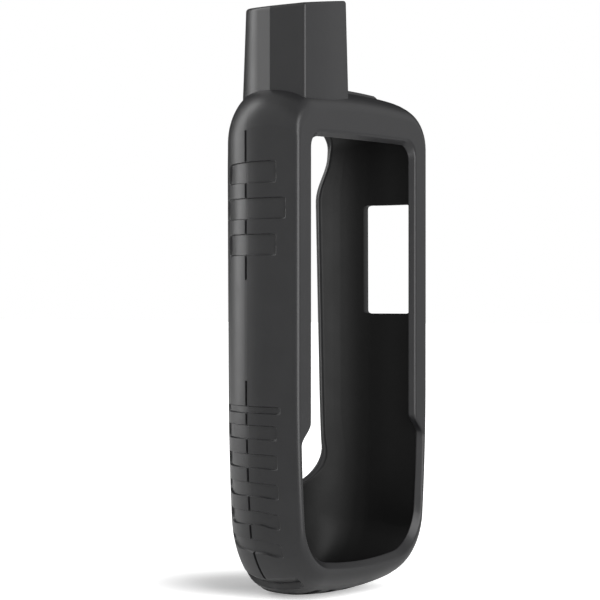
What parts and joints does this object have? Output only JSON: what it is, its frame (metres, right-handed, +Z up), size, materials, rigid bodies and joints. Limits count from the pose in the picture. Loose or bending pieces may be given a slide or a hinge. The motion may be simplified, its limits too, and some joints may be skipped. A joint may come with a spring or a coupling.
{
  "type": "handheld receiver sleeve",
  "caption": "Soft silicone protective sleeve for a handheld satellite receiver, open at screen, keypad, back and side keys, with a hollow antenna boot on its shoulder.",
  "frame": {"origin": "under the middle of the base, at the lowest point of the sleeve", "axes": "+Z up from the base to the antenna boot, -Y out of the screen side, +X to the right seen from the screen side"},
  "size_m": [0.066, 0.0384, 0.173],
  "materials": {
    "silicone": "matte moulded"
  },
  "bodies": {
    "root": {"front_bezel": "silicone", "left_side_wall": "silicone", "right_side_wall": "silicone", "base_cup": "silicone", "crown_shoulder": "silicone", "antenna_boot": "silicone"}
  },
  "joints": []
}
